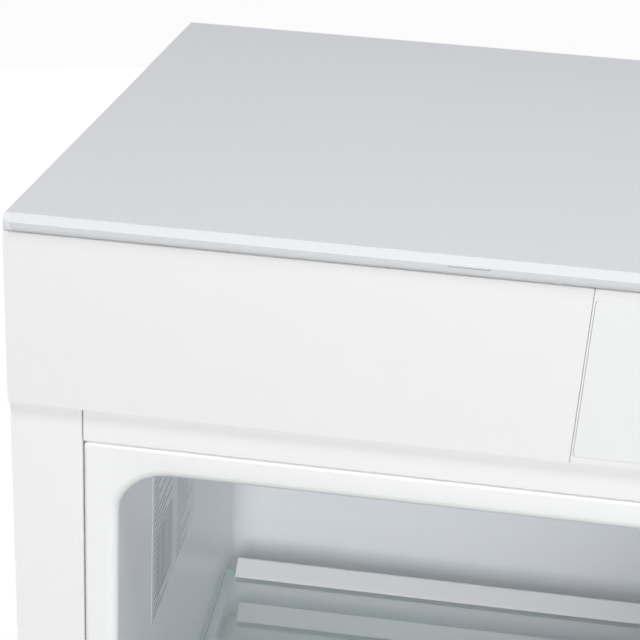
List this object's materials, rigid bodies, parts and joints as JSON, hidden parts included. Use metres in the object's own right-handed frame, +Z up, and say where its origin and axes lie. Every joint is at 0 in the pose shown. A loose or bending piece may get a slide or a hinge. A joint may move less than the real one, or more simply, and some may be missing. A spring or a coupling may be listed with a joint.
{
  "type": "built-in refrigerator",
  "caption": "Under-counter built-in refrigerator with a blank and a control fascia half, a moulded liner, glass shelves, crispers, door racks and a hinged door standing open.",
  "frame": {"origin": "on the floor, on the cabinet's centre line, in the middle of the plinth's foot", "axes": "+Z up, -Y out of the open front towards the user, +X to the right of a user who faces the front"},
  "size_m": [0.598, 1.0991, 0.82],
  "materials": {
    "painted_white": "smooth semi-gloss white paint on steel sheet",
    "fascia_white": "fine satin white moulding",
    "trim_white": "satin white extrusion",
    "overlay_gloss": "glossy, very slightly green white",
    "top_laminate": "pale blue-grey laminate embossed with fine broken lines",
    "liner_white": "smooth vacuum-formed plastic",
    "moulded_white": "satin white moulding",
    "insulation": "rigid foam",
    "zinc_steel": "galvanised sheet",
    "black_enamel": "semi-matt black enamel",
    "black_plastic": "satin black moulding",
    "black_rubber": "matt rubber",
    "gasket_rubber": "soft pale grey-white",
    "clear_plastic": "clear plastic with a faint blue tint",
    "shelf_glass": "clear toughened glass",
    "circuit_board": "green board",
    "lamp_diffuser": "opal diffuser"
  },
  "bodies": {
    "cabinet": {"side_panel_left": "painted_white", "side_panel_right": "painted_white", "upper_rail": "painted_white", "lower_rail": "painted_white", "back_panel": "painted_white", "fascia_panel": "fascia_white", "control_panel": "fascia_white", "front_trim": "trim_white", "trim_end_left": "trim_white", "trim_end_right": "trim_white", "control_overlay": "overlay_gloss", "top_board": "top_laminate", "inner_liner": "liner_white", "plinth_grille": "moulded_white", "lamp_housing": "moulded_white", "drain_spout": "moulded_white", "insulation_foam": "insulation", "deck_plate": "zinc_steel", "base_tray": "zinc_steel", "upper_hinge_bracket": "zinc_steel", "lower_hinge_bracket": "zinc_steel", "upper_hinge_pin": "zinc_steel", "lower_hinge_pin": "zinc_steel", "compressor": "black_enamel", "condenser": "black_enamel", "relay_cover": "black_plastic", "power_inlet": "black_plastic", "evaporation_tray": "black_plastic", "power_module": "black_plastic", "compressor_grommet_1": "black_rubber", "compressor_grommet_2": "black_rubber", "compressor_grommet_3": "black_rubber", "compressor_grommet_4": "black_rubber", "control_board": "circuit_board", "lamp_diffuser": "lamp_diffuser"},
    "door": {"door_skin": "painted_white", "door_cap_top": "moulded_white", "door_cap_bottom": "moulded_white", "door_foam": "insulation", "door_grip": "moulded_white", "door_liner": "liner_white", "door_gasket": "gasket_rubber"},
    "bottle_rack": {"bottle_rack": "clear_plastic"},
    "middle_rack": {"middle_rack": "clear_plastic"},
    "upper_rack": {"upper_rack": "clear_plastic"},
    "shelf": {"glass_shelf": "shelf_glass", "glass_shelf_front_trim": "moulded_white", "glass_shelf_rear_trim": "moulded_white"},
    "crisper_cover": {"crisper_cover": "shelf_glass", "crisper_cover_front_trim": "moulded_white", "crisper_cover_rear_trim": "moulded_white"},
    "crisper_left": {"crisper_left": "clear_plastic"},
    "crisper_right": {"crisper_right": "clear_plastic"},
    "power_key": {"power_key": "fascia_white"},
    "cooling_key": {"cooling_key": "fascia_white"},
    "fast_cool_key": {"fast_cool_key": "fascia_white"},
    "foot_front_left": {"foot_front_left": "black_plastic"},
    "foot_front_right": {"foot_front_right": "black_plastic"},
    "foot_rear_left": {"foot_rear_left": "black_plastic"},
    "foot_rear_right": {"foot_rear_right": "black_plastic"}
  },
  "joints": [
    {"name": "door_hinge", "type": "hinge", "parent": "cabinet", "child": "door", "pos_m": [0.2775, -0.06, 0.4], "axis": [0, 0, 1], "range_deg": [-90, 30]},
    {"name": "bottle_rack_lift", "type": "slide", "parent": "door", "child": "bottle_rack", "axis": [0, 0, 1], "range_m": [0, 0.025]},
    {"name": "middle_rack_lift", "type": "slide", "parent": "door", "child": "middle_rack", "axis": [0, 0, 1], "range_m": [0, 0.025]},
    {"name": "upper_rack_lift", "type": "slide", "parent": "door", "child": "upper_rack", "axis": [0, 0, 1], "range_m": [0, 0.025]},
    {"name": "shelf_slide", "type": "slide", "parent": "cabinet", "child": "shelf", "axis": [0, -1, 0], "range_m": [0, 0.16]},
    {"name": "crisper_cover_slide", "type": "slide", "parent": "cabinet", "child": "crisper_cover", "axis": [0, -1, 0], "range_m": [0, 0.16]},
    {"name": "crisper_left_slide", "type": "slide", "parent": "cabinet", "child": "crisper_left", "axis": [0, -1, 0], "range_m": [0, 0.12]},
    {"name": "crisper_right_slide", "type": "slide", "parent": "cabinet", "child": "crisper_right", "axis": [0, -1, 0], "range_m": [0, 0.12]},
    {"name": "power_key_press", "type": "slide", "parent": "cabinet", "child": "power_key", "axis": [0, 1, 0], "range_m": [0, 0.0012], "stiffness_N_per_m": 800},
    {"name": "cooling_key_press", "type": "slide", "parent": "cabinet", "child": "cooling_key", "axis": [0, 1, 0], "range_m": [0, 0.0012], "stiffness_N_per_m": 800},
    {"name": "fast_cool_key_press", "type": "slide", "parent": "cabinet", "child": "fast_cool_key", "axis": [0, 1, 0], "range_m": [0, 0.0012], "stiffness_N_per_m": 800},
    {"name": "foot_front_left_turn", "type": "hinge", "parent": "cabinet", "child": "foot_front_left", "pos_m": [-0.254, 0.032, 0.03], "axis": [0, 0, 1], "continuous": true},
    {"name": "foot_front_right_turn", "type": "hinge", "parent": "cabinet", "child": "foot_front_right", "pos_m": [0.254, 0.032, 0.03], "axis": [0, 0, 1], "continuous": true},
    {"name": "foot_rear_left_turn", "type": "hinge", "parent": "cabinet", "child": "foot_rear_left", "pos_m": [-0.254, 0.42, 0.03], "axis": [0, 0, 1], "continuous": true},
    {"name": "foot_rear_right_turn", "type": "hinge", "parent": "cabinet", "child": "foot_rear_right", "pos_m": [0.254, 0.42, 0.03], "axis": [0, 0, 1], "continuous": true}
  ]
}
